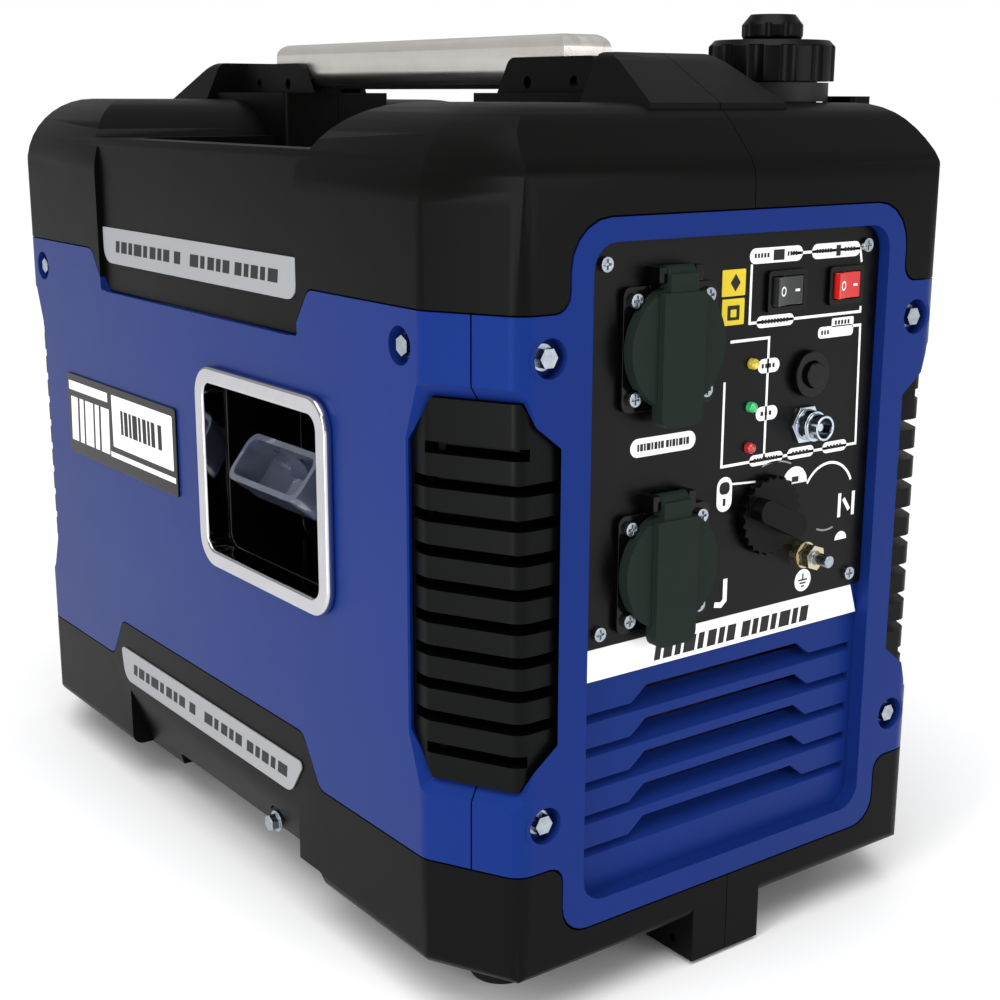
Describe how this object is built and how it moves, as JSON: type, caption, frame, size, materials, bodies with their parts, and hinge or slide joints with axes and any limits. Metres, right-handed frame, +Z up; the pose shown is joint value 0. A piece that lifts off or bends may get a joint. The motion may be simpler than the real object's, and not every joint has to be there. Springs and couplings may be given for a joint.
{
  "type": "inverter generator",
  "caption": "Suitcase inverter generator with blue moulded covers, black top and base, carry handle, control panel with sockets, rockers, knob and lamps, and a side pull starter.",
  "frame": {"origin": "on the ground, under the middle of the covers", "axes": "+Z up; the control panel faces -Y; the pull starter faces -X"},
  "size_m": [0.3042, 0.539, 0.4478],
  "materials": {
    "blue_plastic": "moulded blue covers, satin",
    "black_plastic": "moulded black covers, fine texture",
    "black_gloss": "glossy black mouldings",
    "panel_black": "black printed control plate",
    "dark_rubber": "black rubber",
    "lid_rubber": "dark grey-green soft lids",
    "chrome_trim": "bright chromed trim",
    "badge_silver": "silver film on plastic",
    "white_film": "white film",
    "handle_aluminium": "brushed satin aluminium",
    "zinc_steel": "zinc-plated steel",
    "brass_nuts": "yellow passivated nuts",
    "smoke_plastic": "smoky grip plastic",
    "rope_fabric": "braided starter cord",
    "red_plastic": "red rocker",
    "lamp_lens": "coloured lamp lenses",
    "cast_alloy": "die-cast alloy",
    "grey_steel": "plain steel",
    "heat_steel": "heat-stained muffler steel",
    "copper_winding": "enamelled copper windings",
    "plug_ceramic": "white ceramic",
    "tank_plastic": "black polyethylene tank"
  },
  "bodies": {
    "housing": {"base_left": "black_plastic", "base_right": "black_plastic", "rubber_feet": "dark_rubber", "side_panel_left": "blue_plastic", "side_panel_right": "blue_plastic", "front_panel": "blue_plastic", "rear_panel": "blue_plastic", "top_shell_left": "black_plastic", "top_shell_right": "black_plastic", "grille_front_left": "black_plastic", "grille_front_right": "black_plastic", "grille_rear_left": "black_plastic", "grille_rear_right": "black_plastic", "top_badges": "badge_silver", "base_badges": "badge_silver", "name_plate": "black_gloss", "front_strip": "white_film", "cover_bolts": "zinc_steel", "base_bolts": "zinc_steel", "control_plate": "panel_black", "panel_screws": "zinc_steel", "socket_upper": "black_gloss", "socket_lower": "black_gloss", "switch_frames": "black_gloss", "breaker_body": "black_gloss", "dc_outlet": "zinc_steel", "indicator_lamps": "lamp_lens", "ground_stud": "zinc_steel", "ground_nuts": "brass_nuts", "recoil_bezel": "chrome_trim", "recoil_cup": "black_gloss", "recoil_housing": "black_plastic", "handle_bar": "handle_aluminium", "handle_liner": "dark_rubber", "handle_bolts": "zinc_steel", "fuel_tank": "tank_plastic", "crankcase": "cast_alloy", "cylinder_block": "cast_alloy", "valve_cover": "cast_alloy", "spark_plug": "plug_ceramic", "stator": "copper_winding", "muffler": "heat_steel", "air_cleaner": "black_plastic", "carburettor": "cast_alloy", "inverter_module": "cast_alloy", "engine_mounts": "dark_rubber"},
    "grip": {"recoil_grip": "smoke_plastic", "recoil_rope": "rope_fabric"},
    "reel": {"recoil_reel": "black_plastic"},
    "rotor": {"crankshaft": "grey_steel", "flywheel": "cast_alloy"},
    "lid_upper": {"socket_lid_upper": "lid_rubber"},
    "lid_lower": {"socket_lid_lower": "lid_rubber"},
    "eco_switch": {"eco_rocker": "black_gloss"},
    "run_switch": {"run_rocker": "red_plastic"},
    "breaker": {"breaker_button": "black_gloss"},
    "knob": {"engine_knob": "black_plastic"},
    "seal": {"cap_seal": "dark_rubber"},
    "cap": {"fuel_cap": "black_plastic"},
    "vent": {"vent_knob": "black_plastic"}
  },
  "joints": [
    {"name": "recoil_pull", "type": "slide", "parent": "housing", "child": "grip", "axis": [-1, 0, 0], "range_m": [0, 0.7], "stiffness_N_per_m": 20, "springref_m": -0.1},
    {"name": "reel_spin", "type": "hinge", "parent": "housing", "child": "reel", "pos_m": [0, -0.078, 0.172], "axis": [0, -1, 0], "range_deg": [0, 803]},
    {"name": "crank_spin", "type": "hinge", "parent": "housing", "child": "rotor", "pos_m": [0, 0, 0.172], "axis": [0, 1, 0], "continuous": true},
    {"name": "socket_lid_upper", "type": "hinge", "parent": "housing", "child": "lid_upper", "pos_m": [-0.045, -0.2575, 0.336], "axis": [-1, 0, 0], "range_deg": [0, 110], "stiffness_Nm_per_rad": 0.004, "springref_deg": -34.38},
    {"name": "socket_lid_lower", "type": "hinge", "parent": "housing", "child": "lid_lower", "pos_m": [-0.045, -0.2575, 0.2365], "axis": [-1, 0, 0], "range_deg": [0, 110], "stiffness_Nm_per_rad": 0.004, "springref_deg": -34.38},
    {"name": "eco_rocker", "type": "hinge", "parent": "housing", "child": "eco_switch", "pos_m": [0.0275, -0.2505, 0.323], "axis": [0, 0, -1], "range_deg": [0, 16]},
    {"name": "run_rocker", "type": "hinge", "parent": "housing", "child": "run_switch", "pos_m": [0.067, -0.2505, 0.323], "axis": [0, 0, -1], "range_deg": [0, 16]},
    {"name": "breaker_press", "type": "slide", "parent": "housing", "child": "breaker", "axis": [0, -1, 0], "range_m": [0, 0.003]},
    {"name": "knob_turn", "type": "hinge", "parent": "housing", "child": "knob", "pos_m": [0.021, -0.2515, 0.2185], "axis": [0, -1, 0], "range_deg": [0, 100]},
    {"name": "fuel_cap_lift", "type": "slide", "parent": "housing", "child": "seal", "axis": [0, 0, 1], "range_m": [0, 0.06]},
    {"name": "fuel_cap_turn", "type": "hinge", "parent": "seal", "child": "cap", "pos_m": [0.085, -0.1805, 0.42], "axis": [0, 0, 1], "range_deg": [0, 90]},
    {"name": "vent_turn", "type": "hinge", "parent": "cap", "child": "vent", "pos_m": [0.085, -0.1805, 0.436], "axis": [0, 0, 1], "range_deg": [0, 90]}
  ],
  "couplings": [
    {"joint": "reel_spin", "follows": "recoil_pull", "rad_per_m": 20}
  ]
}
